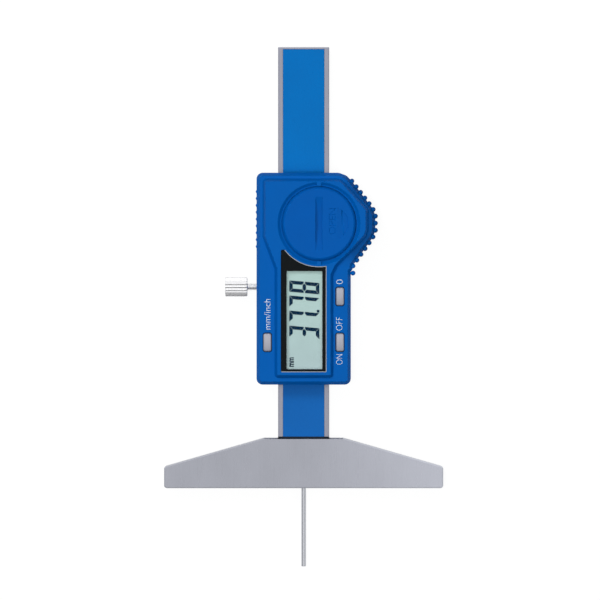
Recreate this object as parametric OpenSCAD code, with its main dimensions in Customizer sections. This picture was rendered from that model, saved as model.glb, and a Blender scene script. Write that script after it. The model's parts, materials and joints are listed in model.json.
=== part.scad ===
// Digital depth gauge with a round depth rod, lying on its back.
// The origin is the centre of the measuring face. +Y runs up the beam and +Z is the display's side.
// The beam is fixed in the base. The display unit slides on the beam and carries the rod,
// which lies in a groove in the beam's back and comes out through a guide bore in the base.

/* [Beam] */
// Width of the beam
beam_w = 16; // [14:0.1:17]
// Thickness of the beam
beam_t = 4; // [3.7:0.1:5]
// Height of the beam's top end above the measuring face
beam_top = 137.9; // [134:0.1:200]
// Height of the beam's lower end, inside the base
beam_foot = 4; // [3:0.1:5]
// Width of the printed film
film_w = 12.9; // [9:0.1:13.4]
// Thickness of the film
film_t = 0.2; // [0.1:0.05:0.3]
// Thickness of the grid scale under the film
grid_t = 0.5; // [0.3:0.05:0.6]
// Bare steel left at the beam's top end
film_margin = 0.6; // [0.3:0.1:4]
// Width of the rod's groove in the beam's back
groove_w = 3.2; // [2.8:0.1:4]
// Depth of that groove
groove_d = 2.1; // [2.05:0.05:2.3]
// Chamfer on the beam's long edges
beam_edge = 0.25; // [0.1:0.05:0.4]

/* [Base] */
// Width of the measuring face
base_w = 87.2; // [70:0.1:160]
// Height of the base
base_h = 15.65; // [14.5:0.05:20]
// Thickness of the base, back to front
base_t = 9; // [8.6:0.1:12]
// Width of the flat on the base's top
base_top_w = 24.8; // [22:0.1:40]
// Height of the base's ends
base_end_h = 6.7; // [4:0.1:9]
// Radius of the base's end corners
base_r = 0.9; // [0.3:0.1:2]
// Chamfer round the base's faces
base_edge = 0.3; // [0.1:0.05:0.5]
// Play at each side of the beam in the base's slot
slot_play = 0.25; // [0.05:0.05:0.5]
// Depth of the notch in the front wall's top edge
slot_notch = 0.3; // [0.1:0.1:1]
// Shank diameter of the beam's screws
beam_screw_d = 2.5; // [2:0.1:3]
// Distance between the beam's screws
beam_screw_pitch = 9.6; // [8:0.1:10.5]
// Height of the beam's screws above the measuring face
beam_screw_y = 8.4; // [7:0.1:10]

/* [Rod] */
// Diameter of the depth rod
rod_d = 1.5; // [1.2:0.1:1.6]
// Length of rod that stands out of the base
rod_out = 24.7; // [0:0.1:25]
// Radial clearance of the rod in its guide bore
rod_fit = 0.05; // [0.02:0.01:0.08]
// Width of the rod holder
holder_w = 2.6; // [2.4:0.1:2.7]
// Length of the rod holder
holder_len = 11; // [9:0.5:14]
// Depth of the rod in its holder
rod_grip = 5; // [3:0.5:5.5]
// Height of the holder's lower end above the slider's lower end
holder_y = 16; // [8:0.5:24]
// Shank diameter of the holder's screw
holder_screw_d = 1.4; // [1:0.1:1.6]

/* [Slider] */
// Height of the housing's lower end above the measuring face
slider_y = 32.4; // [25:0.1:40]
// Length of the housing
house_len = 66.1; // [66:0.1:70]
// Width of the housing without its thumb grip
house_w = 29.4; // [29:0.1:32]
// Radius of the housing's corners
house_r = 1.9; // [1:0.1:2.5]
// Inset of the metal frame from the housing's outline
frame_inset = 0.7; // [0.3:0.1:1]
// Chamfer round the metal frame
frame_edge = 0.4; // [0.1:0.05:0.6]
// Thickness of the frame's back wall
back_t = 2; // [1.8:0.1:2.4]
// Clearance between beam and frame
run_gap = 0.1; // [0.05:0.05:0.15]
// Thickness of the gib strip
gib_t = 0.9; // [0.6:0.1:1.2]
// Length of the gib strip
gib_len = 50; // [40:1:56]
// Diameter of the gib's set screws
gib_screw_d = 1.6; // [1.2:0.1:2]
// Distance between the set screws
gib_screw_pitch = 30; // [20:1:36]
// Upward travel of the slider, until the rod is level with the measuring face
travel_up = 24.8; // [20:0.1:26]
// Diameter of the stop screw's head
stop_head_d = 3.4; // [2.5:0.1:4]
// Thickness of that head
stop_head_t = 1.3; // [0.8:0.1:1.5]
// Shank diameter of the stop screw
stop_screw_d = 1.6; // [1.2:0.1:1.8]
// Shank length of the stop screw
stop_screw_l = 2.2; // [1.5:0.1:2.6]
// Sideways place of the stop screw
stop_x = 4.6; // [4.2:0.1:5]

/* [Housing] */
// Height of the side wings above the frame
wing_h = 6.8; // [6.6:0.1:8]
// Rise of the centre panel above the wings
panel_h = 1.6; // [1.4:0.1:2.2]
// Width of the panel's bevel
panel_bevel = 0.9; // [0.4:0.1:1.2]
// Width of the housing's top bevel
rim_bevel = 1; // [0.6:0.1:1.7]
// Drop of that bevel
rim_drop = 1.5; // [0.4:0.1:1.6]
// Thickness of the side walls
wall = 1.4; // [1:0.1:1.5]
// Thickness of the roof over the wings
roof_t = 1.2; // [1:0.1:1.5]
// Shank diameter of the housing's screws
house_screw_d = 1.6; // [1.2:0.1:1.8]
// Outer diameter of the screw bosses
boss_d = 3.8; // [3.2:0.1:4]

/* [Panel] */
// Margin between the housing's lower end and the panel
panel_low = 2.1; // [1.8:0.1:2.6]
// Margin between the panel and the housing's top end
panel_high = 1.85; // [1.8:0.05:2.9]
// Margin between the housing's left side and the panel's wide part
panel_side = 1.9; // [1.6:0.1:3.2]
// Panel that shows left of the window
window_left = 2; // [1.2:0.1:2.1]
// Panel that shows right of the window
window_right = 2.2; // [1.4:0.1:2.2]
// Height of the panel's waist below the grip's nose
panel_waist = 13.5; // [13:0.1:14]
// Distance from the line of bumps to the panel's nose
panel_nose = 2.2; // [1.8:0.1:2.6]
// Height of the panel's nose
panel_nose_h = 6.4; // [4:0.1:6.6]
// Distance from the housing's right side to the panel's cut corner
panel_corner = 3.4; // [3.2:0.1:5.2]
// Depth of its left side's upper bend below the grip's middle
panel_bend = 4.4; // [2.5:0.1:5]
// Depth of the lower bend below the right side's waist
panel_turn = 0.9; // [0:0.1:2]
// Radius of the panel's corners
panel_r = 1.2; // [0.8:0.1:1.6]

/* [Thumb grip] */
// How far the grip's bumps are centred outside the housing's side
grip_reach = 7.7; // [6:0.1:9]
// Distance from the housing's top end down to the grip's nose
grip_mid = 15.7; // [15.4:0.1:16.4]
// Height of the nose's upright flat
grip_flat = 5; // [3:0.1:6]
// Length of the grip below its nose
grip_low = 15.6; // [15:0.1:16]
// Length of the grip above its nose
grip_high = 13.1; // [12.6:0.1:13.4]
// How far the lowest bump is centred outside the housing's side
grip_root = 0.7; // [0.5:0.1:1]
// Width of the shoulders at the nose
shoulder_w = 0.9; // [0.5:0.1:1.4]
// Height of the shoulders at the nose
shoulder_h = 2.2; // [1.5:0.1:3]
// Width of the housing's cut corner above the grip
corner_w = 3.7; // [3:0.1:4.5]
// How far that corner bulges, sideways and upward
corner_bulge = 0.4; // [0:0.1:0.6]
// Number of bumps on the grip
grip_bumps = 16; // [10:1:18]
// Diameter of a bump
bump_d = 1.5; // [1:0.1:1.6]
// How far the grip's edge lies inside the line of the bumps' centres
bump_sink = 0.05; // [0:0.05:0.4]
// How far a bump ends below the wings' face
bump_drop = 0.8; // [0.4:0.1:1.6]
// Number of small bumps on the other side
side_bumps = 9; // [5:1:11]
// Diameter of a small bump
side_bump_d = 1.1; // [0.8:0.1:1.3]
// Height of the lowest small bump below the grip's nose
side_bump_low = 7.3; // [6:0.1:8]
// Distance between small bumps
side_bump_pitch = 2.14; // [1.8:0.01:2.3]
// How far a small bump stands out
side_bump_out = 0.25; // [0.1:0.05:0.4]
// How far a small bump ends below the wings' face
side_bump_drop = 1.1; // [0.6:0.1:1.6]

/* [Battery] */
// Radius of the battery cover
cover_r = 11.5; // [11.2:0.1:11.7]
// Radius of the recess round the cover
ring_r = 12.9; // [12.7:0.1:13.1]
// Depth of that recess
ring_d = 0.9; // [0.5:0.1:0.9]
// Width of the recess's level floor, from which its wall slopes outward
ring_floor = 0.3; // [0.2:0.05:0.5]
// Width of the two tabs across the recess
tab_w = 1.4; // [0.8:0.1:2]
// Sideways place of the cover
cover_x = 4.78; // [4.5:0.02:5]
// Distance from the housing's top end down to the cover's centre
cover_y = 15.9; // [15.8:0.05:16.2]
// Clearance round the cover
cover_gap = 0.2; // [0.1:0.05:0.3]
// How far the cover stands above the panel
cover_proud = 0.15; // [0:0.05:0.4]
// Thickness of the cover's disk
disk_t = 1.1; // [0.9:0.1:1.2]
// Depth of the plug under the disk
plug_t = 2; // [1.9:0.1:2.1]
// Width of the bevel round the cover's face
cover_bevel = 0.8; // [0.4:0.1:1]
// Drop of that bevel
cover_drop = 0.4; // [0.2:0.05:0.6]
// Width of the coin slot
coin_w = 2.15; // [1.5:0.05:3]
// Length of the coin slot
coin_len = 16.6; // [12:0.1:18]
// Depth of the coin slot at its middle
coin_d = 1.5; // [0.8:0.1:2]
// Length of the finger scoop in the cover
scoop_l = 9.8; // [8:0.1:12]
// Width of the scoop, from its straight side to its bow
scoop_w = 3.4; // [2.6:0.1:4]
// Depth of the scoop at its bow
scoop_d = 0.45; // [0.2:0.05:0.6]
// Width of the cover's rim beside the scoop
scoop_rim = 2.3; // [1.5:0.1:3]
// Thickness of the flat seal
seal_t = 0.4; // [0.3:0.05:0.5]
// Diameter of the coin cell
cell_d = 20; // [18:0.5:20]
// Thickness of the coin cell
cell_t = 3.2; // [2.5:0.1:3.2]
// Width of the battery's contacts
contact_w = 3; // [2:0.1:3.5]
// Length of the spring contact
spring_l = 5; // [4:0.1:5.5]

/* [Display] */
// Width of the window's black frame
bezel_w = 14.15; // [13.9:0.05:14.6]
// Thickness of the black frame
bezel_t = 0.6; // [0.5:0.1:1]
// Depth of the black frame's face below the panel
bezel_sink = 0.1; // [0:0.05:0.3]
// Height of the window's lower edge above the slider's lower end
bezel_y = 3.95; // [3.5:0.05:4.2]
// Distance from the cover's centre down to the tip of the window's wedge
wedge_drop = 8.2; // [7.6:0.1:9]
// Width of the opening over the display
view_w = 11.2; // [9:0.1:12]
// Distance between that opening and the recess round the cover
view_gap = 1.8; // [1.6:0.1:4]
// Border of black frame below the opening
view_border = 0.85; // [0.7:0.05:1.2]
// Sideways place of the opening's centre
view_x = 0.25; // [0:0.05:0.5]
// Thickness of the clear lens
lens_t = 0.6; // [0.5:0.1:1]
// Distance between the lens and the display panel
lcd_gap = 0.15; // [0.15:0.05:0.3]
// Margin of the display panel behind its opening
lcd_rim = 1.3; // [1:0.1:1.5]
// Thickness of the display panel
lcd_t = 1.8; // [1.2:0.1:2]
// Height of the digits
digit_h = 9.3; // [7:0.1:9.8]
// Width of a digit
digit_w = 3.45; // [2.5:0.05:3.6]
// Thickness of a segment
segment = 1; // [0.5:0.02:1.1]
// Half of the gap between two segments
segment_gap = 0.12; // [0.04:0.01:0.14]
// Width of the decimal point
point_w = 0.7; // [0.5:0.05:0.8]
// Gap between the decimal point and the next digit
point_gap = 0.25; // [0.1:0.05:0.3]
// Distance from one digit to the next
digit_pitch = 4.7; // [4.5:0.05:4.8]
// Distance between the last digit and the opening's upper end
digit_end = 3.85; // [3:0.05:5]
// Distance between the digits' feet and the opening's side
digit_foot = 1; // [0.8:0.05:1.6]
// Lean of the digits, sideways for each unit of height
digit_lean = 0.09; // [0:0.01:0.12]
// Width of the display's rubber connectors
connector_w = 1.2; // [0.8:0.1:1.4]
// Width of the controller chip
chip_w = 7; // [4:0.1:9]
// Thickness of the controller chip
chip_t = 1.1; // [0.8:0.1:1.4]

/* [Buttons] */
// Width of a button
button_w = 2.6; // [2:0.1:2.8]
// Length of a button
button_l = 5.8; // [4:0.1:6.4]
// Gap round a button
button_gap = 0.15; // [0.1:0.05:0.25]
// How far a button stands above its wing
button_out = 0.5; // [0.4:0.1:1]
// Travel of a button
button_travel = 0.3; // [0.2:0.05:0.35]
// Distance from the housing's side to the buttons' centres
button_x = 3.4; // [3.3:0.05:3.6]
// Height of the lower buttons above the slider's lower end
low_button_y = 13.2; // [12:0.1:16]
// Height of the upper button above the slider's lower end
high_button_y = 27.5; // [25:0.1:30]
// Diameter of a button's stem
button_stem_d = 1.8; // [1.4:0.1:2]
// Depth of the stem's end below the roof's inner side
button_stem_l = 2.75; // [2:0.05:3.2]
// Thickness of the flange that keeps a button in
flange_t = 0.5; // [0.3:0.1:0.8]
// Width of that flange
flange_w = 0.4; // [0.2:0.05:0.5]
// Chamfer round a button's face
button_edge = 0.35; // [0.2:0.05:0.5]
// Corner radius of a button
button_r = 0.7; // [0.3:0.1:1]
// Diameter of a rubber dome's foot
dome_d = 2.6; // [2.2:0.1:2.8]
// Thickness of the strip that joins the domes
dome_strip_t = 0.5; // [0.3:0.1:0.8]

/* [Lock] */
// Height of the lock screw above the slider's lower end
lock_y = 30.5; // [28:0.1:33]
// Diameter of the lock screw's stem
stem_d = 2; // [1.6:0.1:2.2]
// Length of stem that shows beside the housing
stem_out = 2.9; // [2:0.1:4]
// Diameter of the knurled head
knob_d = 6.1; // [5:0.1:6.4]
// Length of the knurled head
knob_len = 7; // [5:0.1:10]
// Number of ridges in the knurl
knob_ridges = 20; // [16:1:40]
// Depth of the knurl
knurl_d = 0.3; // [0.1:0.02:0.3]
// Chamfer at the ends of the knurled head
knob_edge = 0.25; // [0.1:0.05:0.6]
// Pitch of the lock screw's thread
lock_pitch = 0.4; // [0.3:0.05:0.5]
// Diameter of the screw's nose inside the pad
nose_d = 1; // [0.6:0.1:1.2]
// Length of that nose
nose_l = 1; // [0.5:0.1:1.1]
// Diameter of the brass pad
pad_d = 2.4; // [2:0.1:2.6]
// Length of the brass pad
pad_len = 1.9; // [1.5:0.1:2.4]

/* [Hidden] */
$fn = 48;
// Overrun of a cut past the face that it opens
over = 1;
// Clearance of a screw in its hole
screw_gap = 0.05;
// Clearance of a bearing or a seated piece
fit = 0.05;
// Touching gap between faces that press on each other
touch = 0.02;
// Gap between the circuit board and the beam
sense_gap = 0.3;
// Thickness of the circuit board
board_t = 1;
// Clearance round the circuit board
board_gap = 0.4;
// Thickness of the contacts' sheet metal
sheet = 0.25;
// Play between the rod and the bottom of its groove, and between cell and plug
rod_play = 0.15;
cell_play = 0.3;
// Screws: width of a head for each unit of shank, its height, and the inset of its face
head_w = 1.9;
head_h = 0.45;
head_sink = 0.1;

// Levels along Z
z_back = -base_t / 2;
z_beam = z_back + back_t + run_gap;
z_front = z_beam + beam_t;
z_mid = z_beam + beam_t / 2;
z_rail = z_front + sense_gap;
z_board = z_rail + board_t;
z_wing = z_rail + wing_h;
z_roof = z_wing - roof_t;
z_panel = z_wing + panel_h;
z_rod = z_beam + rod_play + rod_d / 2;
z_cover = z_panel + cover_proud;
z_bezel = z_panel - bezel_sink - bezel_t;
z_lens = z_bezel - lens_t;
z_lcd = z_lens - lcd_gap;
z_disk = z_cover - disk_t;
z_plug = z_disk - plug_t;
z_ledge = z_disk - fit - seal_t;
z_cell = z_plug - cell_play - cell_t;
z_stem = z_roof - button_stem_l;

// The slider's frame, between two heights
frame_y = slider_y + frame_inset;
frame_len = house_len - 2 * frame_inset;
frame_w = house_w - 2 * frame_inset;
slider_mid = slider_y + house_len / 2;
// Lower end of the scale's seat, hidden in the base's slot
seat_y = base_h - 2.5;
// The bosses are sunk a little into the walls
boss_sink = 0.3;
// Plastic left over a screw's hole, and room between the screw's tip and the hole's end
hole_roof = 0.4;
tip_room = 0.7;
boss_inset = wall + boss_d / 2 - boss_sink;
stop_play = 0.2;
stop_y = frame_y + frame_len + travel_up + stop_play + stop_head_d / 2;

// Height of the grip's nose
nose_y = slider_y + house_len - grip_mid;

// The battery cover and its bayonet
cover_c = [cover_x, slider_y + house_len - cover_y];
plug_r = cell_d / 2 + cell_play;
lug_out = 0.75;
lug_t = 0.7;
lug_a = 24;
lug_turn = 45;
ledge_t = 0.7;
pocket_r = plug_r + 0.1;
under_r = plug_r + lug_out + cover_gap;
can_wall = 1;
can_r = under_r + can_wall;
floor_t = 0.6;

// Height of a bump's cone
bump_cap = 0.4;
side_bump_cap = 0.3;

// The display, in the slider's own place
// Its lens reaches a little under the frame, and the frame stops short of the cover's recess
lens_lap = 0.35;
wedge_land = 0.5;
bezel_r = 0.4;
glass_r = 0.3;
lcd_r = 0.2;
bezel_h = house_len - cover_y - wedge_drop - bezel_y;
view_y = slider_y + bezel_y + view_border;
view_h = cover_c[1] - ring_r - view_gap - view_y;
digit_base = view_x + view_w / 2 - digit_foot;
reading = [3, 7, 7, 8];
first_digit_y = view_y + view_h - digit_end - digit_w - (len(reading) - 1) * digit_pitch;
button_places = [
    [button_x - house_w / 2, slider_y + low_button_y, 0],
    [house_w / 2 - button_x, slider_y + high_button_y, 0],
    [house_w / 2 - button_x, slider_y + low_button_y, 0]
];

steel = [0.72, 0.73, 0.76];
blue = [0.03, 0.2, 0.62];

// A point on a chain of points, at a distance along it
function chain_len(p, i = 0) = i >= len(p) - 1 ? 0 : norm(p[i + 1] - p[i]) + chain_len(p, i + 1);
function along(p, s, i = 0) =
    let (d = norm(p[i + 1] - p[i]))
    s <= d || i >= len(p) - 2 ? p[i] + (p[i + 1] - p[i]) * s / d : along(p, s - d, i + 1);

// The line of the grip's bumps: a short upright, a flank, the nose and the other flank
function grip_line() =
    let (x0 = house_w / 2 + grip_root, x1 = house_w / 2 + grip_reach, h = grip_flat / 2)
    [[x0, nose_y - grip_low], [x0, nose_y - 0.85 * grip_low],
     [x1 - shoulder_w, nose_y - h - shoulder_h], [x1, nose_y - h], [x1, nose_y + h],
     [x1 - shoulder_w, nose_y + h + shoulder_h], [x0 - grip_root / 2, nose_y + grip_high]];

// Rounded rectangle between two corners
module plate(x0, y0, x1, y1, r) {
    translate([x0 + r, y0 + r]) offset(r = r) square([x1 - x0 - 2 * r, y1 - y0 - 2 * r]);
}

// Block with its top and bottom edges chamfered
module blank(height, edge) {
    hull() {
        linear_extrude(height) offset(delta = -edge) children();
        translate([0, 0, edge]) linear_extrude(height - 2 * edge) children();
    }
}

// Countersunk screw along +Z with its head's face at 0, or its hole when grown
module countersunk(d, length, grow = 0) {
    cylinder(d = d + 2 * grow, h = length);
    cylinder(d1 = head_w * d + 2 * grow, d2 = d + 2 * grow, h = head_h * d);
    if (grow > 0) translate([0, 0, -over]) cylinder(d = head_w * d + 2 * grow, h = over);
}

// Screw with a cross recess
module screw(d, length) {
    arm = [1.2 * d, 0.22 * d, 0.3 * d];
    difference() {
        countersunk(d, length);
        for (a = [0, 90]) rotate([0, 0, a]) cube([arm[0], arm[1], 2 * arm[2]], center = true);
    }
}

// Places of the screws
module at_beam_screws() {
    for (s = [-1, 1]) translate([s * beam_screw_pitch / 2, beam_screw_y, z_back + head_sink]) children();
}

module at_house_screws() {
    for (x = [-1, 1], y = [-1, 1])
        translate([x * (house_w / 2 - boss_inset), slider_mid + y * (house_len / 2 - boss_inset), 0])
            children();
}

module at_rod_screw() {
    translate([0, slider_y + holder_y + (rod_grip + holder_len) / 2, z_back + head_sink]) children();
}

module at_gib_screws() {
    for (s = [-1, 1])
        translate([beam_w / 2 + run_gap + gib_t + fit, slider_mid + s * gib_screw_pitch / 2, z_mid])
            rotate([0, 90, 0]) children();
}

module at_lock() {
    translate([0, slider_y + lock_y, z_mid]) rotate([0, -90, 0]) children();
}

module at_cover() {
    translate([cover_c[0], cover_c[1], 0]) children();
}

// Base with its slot, its guide bore and its screw holes
module measuring_base() color(steel) {
    slot_w = beam_w + 2 * slot_play;
    difference() {
        translate([0, 0, z_back]) blank(base_t, base_edge)
            offset(r = base_r, $fn = 32) offset(delta = -base_r) polygon([
                [-base_w / 2, 0], [base_w / 2, 0], [base_w / 2, base_end_h],
                [base_top_w / 2, base_h], [-base_top_w / 2, base_h], [-base_w / 2, base_end_h]
            ]);
        translate([-slot_w / 2, beam_foot, z_beam]) cube([slot_w, base_h, beam_t + fit]);
        translate([-slot_w / 2, base_h - slot_notch, z_front]) cube([slot_w, base_h, base_t]);
        translate([0, -over, z_rod]) rotate([-90, 0, 0])
            cylinder(r = rod_d / 2 + rod_fit, h = beam_foot + 2 * over);
        at_beam_screws() countersunk(beam_screw_d, z_mid - z_back, screw_gap);
    }
}

// Beam with the groove for the rod, the seat of the scale and its tapped holes
module beam() color([0.62, 0.63, 0.67]) {
    seat_d = grid_t + film_t;
    difference() {
        translate([-beam_w / 2, beam_foot, z_beam]) blank(beam_t, beam_edge)
            square([beam_w, beam_top - beam_foot]);
        translate([-groove_w / 2, beam_foot - over, z_beam - over])
            cube([groove_w, beam_top - beam_foot + 2 * over, groove_d + over]);
        translate([-film_w / 2 - fit, seat_y, z_front - seat_d])
            cube([film_w + 2 * fit, beam_top - film_margin - seat_y, seat_d + over]);
        at_beam_screws() countersunk(beam_screw_d, beam_t + back_t - 1, screw_gap);
        translate([stop_x, stop_y, z_beam - over])
            cylinder(d = stop_screw_d + 2 * screw_gap, h = over + stop_screw_l + screw_gap);
    }
}

module scale_strip(z, t) {
    translate([-film_w / 2, seat_y + fit, z])
        cube([film_w, beam_top - film_margin - seat_y - 2 * fit, t]);
}

module scale_grid() color([0.75, 0.5, 0.25]) scale_strip(z_front - film_t - grid_t, grid_t);

module scale_film() color([0, 0.44, 0.73]) scale_strip(z_front - film_t, film_t);

module beam_screws() color(steel) {
    at_beam_screws() screw(beam_screw_d, beam_t + back_t - 1.3);
}

module stop_screw() color(steel) {
    slot = [2 * stop_head_d, 0.4, 0.5];
    translate([stop_x, stop_y, z_beam]) {
        cylinder(d = stop_screw_d, h = stop_screw_l);
        difference() {
            translate([0, 0, -stop_head_t]) cylinder(d = stop_head_d, h = stop_head_t);
            translate([0, 0, -stop_head_t]) cube([slot[0], slot[1], 2 * slot[2]], center = true);
        }
    }
}

// Metal frame that runs on the beam
module slider_frame() color([0.66, 0.67, 0.7]) {
    x0 = -beam_w / 2 - run_gap;
    x1 = beam_w / 2 + run_gap;
    difference() {
        translate([0, 0, z_back]) blank(z_rail - z_back, frame_edge)
            plate(-frame_w / 2, frame_y, frame_w / 2, frame_y + frame_len, house_r, $fn = 32);
        translate([x0, frame_y - over, z_back + back_t])
            cube([x1 - x0, frame_len + 2 * over, z_rail - z_back]);
        translate([x1 - over, slider_mid - gib_len / 2 - fit, z_back + back_t])
            cube([over + gib_t + fit, gib_len + 2 * fit, z_rail - z_back]);
        at_gib_screws() cylinder(d = gib_screw_d + 2 * screw_gap, h = house_w);
        at_lock() {
            cylinder(r = stem_d / 2 + fit, h = house_w);
            cylinder(r = pad_d / 2 + fit, h = beam_w / 2 + pad_len + lock_pitch + 0.2);
        }
        at_rod_screw() countersunk(holder_screw_d, back_t + 2, screw_gap);
        at_house_screws() translate([0, 0, z_back + head_sink])
            countersunk(house_screw_d, z_rail - z_back + over, screw_gap);
    }
}

module gib_strip() color([0.8, 0.65, 0.3]) {
    translate([beam_w / 2 + run_gap, slider_mid - gib_len / 2, z_back + back_t + fit])
        cube([gib_t, gib_len, beam_t]);
}

module gib_screws() color(steel) {
    sunk = 0.4;
    slot = [2 * gib_screw_d, 0.36, 0.5];
    length = frame_w / 2 - beam_w / 2 - run_gap - gib_t - fit - sunk;
    at_gib_screws() difference() {
        cylinder(d = gib_screw_d, h = length);
        translate([0, 0, length]) cube([slot[0], slot[1], 2 * slot[2]], center = true);
    }
}

// Rod with a lightly chamfered tip
module depth_rod() color([0.8, 0.8, 0.82]) {
    length = rod_out + slider_y + holder_y + rod_grip;
    edge = 0.15;
    translate([0, -rod_out, z_rod]) rotate([-90, 0, 0]) {
        cylinder(d1 = rod_d - 2 * edge, d2 = rod_d, h = edge);
        translate([0, 0, edge]) cylinder(d = rod_d, h = length - edge);
    }
}

module rod_holder() color([0.78, 0.62, 0.3]) {
    height = z_beam + groove_d - rod_play - z_back - back_t;
    difference() {
        translate([-holder_w / 2, slider_y + holder_y, z_back + back_t])
            cube([holder_w, holder_len, height]);
        translate([0, slider_y + holder_y - over, z_rod]) rotate([-90, 0, 0])
            cylinder(d = rod_d, h = rod_grip + over);
        at_rod_screw() cylinder(d = holder_screw_d + 2 * screw_gap, h = back_t + height - 0.5);
    }
}

module rod_screw() color(steel) at_rod_screw() screw(holder_screw_d, back_t + 1.1);

// Outline of the housing with its thumb grip, but without the bumps
module house_outline() {
    y0 = slider_y;
    y1 = slider_y + house_len;
    x = house_w / 2;
    line = grip_line();
    grip = [for (p = line) [p[0] - bump_sink, p[1]]];
    corner = [x - corner_w, y1];
    middle = (grip[len(grip) - 1] + corner) / 2 + [corner_bulge, corner_bulge];
    offset(r = house_r) offset(delta = -house_r)
        polygon(concat([[-x, y0], [x, y0], [x, line[0][1]]], grip, [middle, corner, [-x, y1]]));
}

// Outline of the raised centre panel: narrow beside the window, wide round the cover, with a nose
module panel_outline() {
    y0 = slider_y + panel_low;
    y1 = slider_y + house_len - panel_high;
    waist = nose_y - panel_waist;
    left = -bezel_w / 2 - window_left;
    right = bezel_w / 2 + window_right;
    wide = panel_side - house_w / 2;
    corner = house_w / 2 - panel_corner;
    tip = house_w / 2 + grip_reach - panel_nose;
    // Lower and upper ends of the nose, and the bends next to them
    n0 = nose_y - panel_nose_h / 3;
    n1 = nose_y + panel_nose_h * 2 / 3;
    bend = [0.7, 2.2];
    foot = [1.3, 2.7];
    shoulder = [1.5, 1.1];
    offset(r = panel_r) offset(delta = -panel_r) polygon([
        [left, y0], [right, y0], [right, waist - foot[1]], [right + foot[0], waist],
        [tip - bend[0], n0 - bend[1]], [tip, n0], [tip, n1], [corner + shoulder[0], y1 - shoulder[1]],
        [corner, y1], [wide, y1], [wide, nose_y - panel_bend], [left, waist - panel_turn]
    ]);
}

// Prism whose top edge is bevelled by this width and drop
module bevelled(height, width, drop) {
    minkowski() {
        linear_extrude(height - drop) offset(delta = -width) children();
        cylinder(r1 = width, r2 = 0, h = drop, $fn = 16);
    }
}

// Outline of the window's black frame, cut by the recess round the battery cover
module bezel_outline(grow = 0) {
    y = slider_y + bezel_y;
    difference() {
        plate(-bezel_w / 2 - grow, y - grow, bezel_w / 2 + grow, y + bezel_h + grow, bezel_r + grow);
        translate(cover_c) circle(r = ring_r + wedge_land - grow);
    }
}

module view_outline(grow, r) {
    plate(view_x - view_w / 2 - grow, view_y - grow,
        view_x + view_w / 2 + grow, view_y + view_h + grow, r);
}

module button_outline(grow = 0) {
    offset(r = button_r + grow)
        square([button_w - 2 * button_r, button_l - 2 * button_r], center = true);
}

module grip_bump(d, h, cap) {
    cylinder(d = d, h = h - cap);
    translate([0, 0, h - cap]) cylinder(d1 = d, d2 = d / 2, h = cap);
}

// Outer form of the housing: wings, raised panel and bumps
module house_body() {
    line = grip_line();
    step = chain_len(line) / (grip_bumps - 1);
    side_y = nose_y - side_bump_low;
    root = 1;
    translate([0, 0, z_rail]) {
        bevelled(wing_h, rim_bevel, rim_drop) house_outline();
        for (i = [0 : grip_bumps - 1]) translate(along(line, i * step))
            grip_bump(bump_d, wing_h - bump_drop, bump_cap);
        for (i = [0 : side_bumps - 1])
            translate([side_bump_d / 2 - house_w / 2 - side_bump_out, side_y + i * side_bump_pitch])
                grip_bump(side_bump_d, wing_h - side_bump_drop, side_bump_cap);
    }
    translate([0, 0, z_wing - root]) bevelled(panel_h + root, panel_bevel, panel_h) panel_outline();
}

// Hollow under the roof, with the can of the battery and the screw bosses left standing
module house_hollow() {
    x = house_w / 2 - wall;
    difference() {
        translate([0, 0, z_rail - over]) linear_extrude(z_roof - z_rail + over)
            plate(-x, slider_y + wall, x, slider_y + house_len - wall, 0.5);
        at_cover() translate([0, 0, z_cell - floor_t]) cylinder(r = can_r, h = wing_h);
        at_house_screws() translate([0, 0, z_rail]) cylinder(d = boss_d, h = wing_h);
    }
    grip_hollow();
}

// The grip is cored from below, so that its wall is as thick as the housing's
module grip_hollow() {
    x = house_w / 2 - wall + 0.1;
    difference() {
        translate([0, 0, z_rail - over]) linear_extrude(z_roof - z_rail + over)
            offset(delta = -wall) intersection() {
                house_outline();
                translate([x, nose_y - grip_low]) square([grip_reach + wall, grip_low + grip_high]);
            }
        at_cover() translate([0, 0, z_cell - floor_t]) cylinder(r = can_r, h = wing_h);
    }
}

// Round opening for the battery: recess, seat of the disk, ledge, groove under the ledge, cell's pocket
module battery_hollow() {
    at_cover() {
        difference() {
            union() {
                translate([0, 0, z_panel - ring_d])
                    cylinder(r1 = cover_r + cover_gap + ring_floor, r2 = ring_r, h = ring_d);
                translate([0, 0, z_panel]) cylinder(r = ring_r, h = over);
            }
            for (s = [-1, 1]) translate([-tab_w / 2, s * (ring_r + cover_r) / 2 - 1, z_panel - over])
                cube([tab_w, 2, over]);
        }
        translate([0, 0, z_ledge]) cylinder(r = cover_r + cover_gap, h = wing_h);
        translate([0, 0, z_cell]) cylinder(r = pocket_r, h = wing_h);
        translate([0, 0, z_plug - 0.1]) cylinder(r = under_r, h = z_ledge - ledge_t - z_plug + 0.1);
        for (s = [0, 180]) rotate([0, 0, s + lug_turn]) translate([0, 0, z_plug + lug_t / 2])
            sector(under_r - 0.1, lug_a + 6, z_ledge - z_plug);
        cube([spring_l + 1, contact_w + 1, 2 * z_cell], center = true);
        translate([-can_r - over, -contact_w / 2 - 0.5, z_cell - over])
            cube([can_r + over - cell_d / 2 + 0.5, contact_w + 1, cell_t]);
    }
}

// Radius of an arc with this chord and rise
function arc_r(chord, rise) = (chord * chord / 4 + rise * rise) / (2 * rise);

// Sector of a disk, centred on +X
module sector(r, a, h) {
    rotate([0, 0, -a / 2]) rotate_extrude(angle = a) square([r, h]);
}

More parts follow.
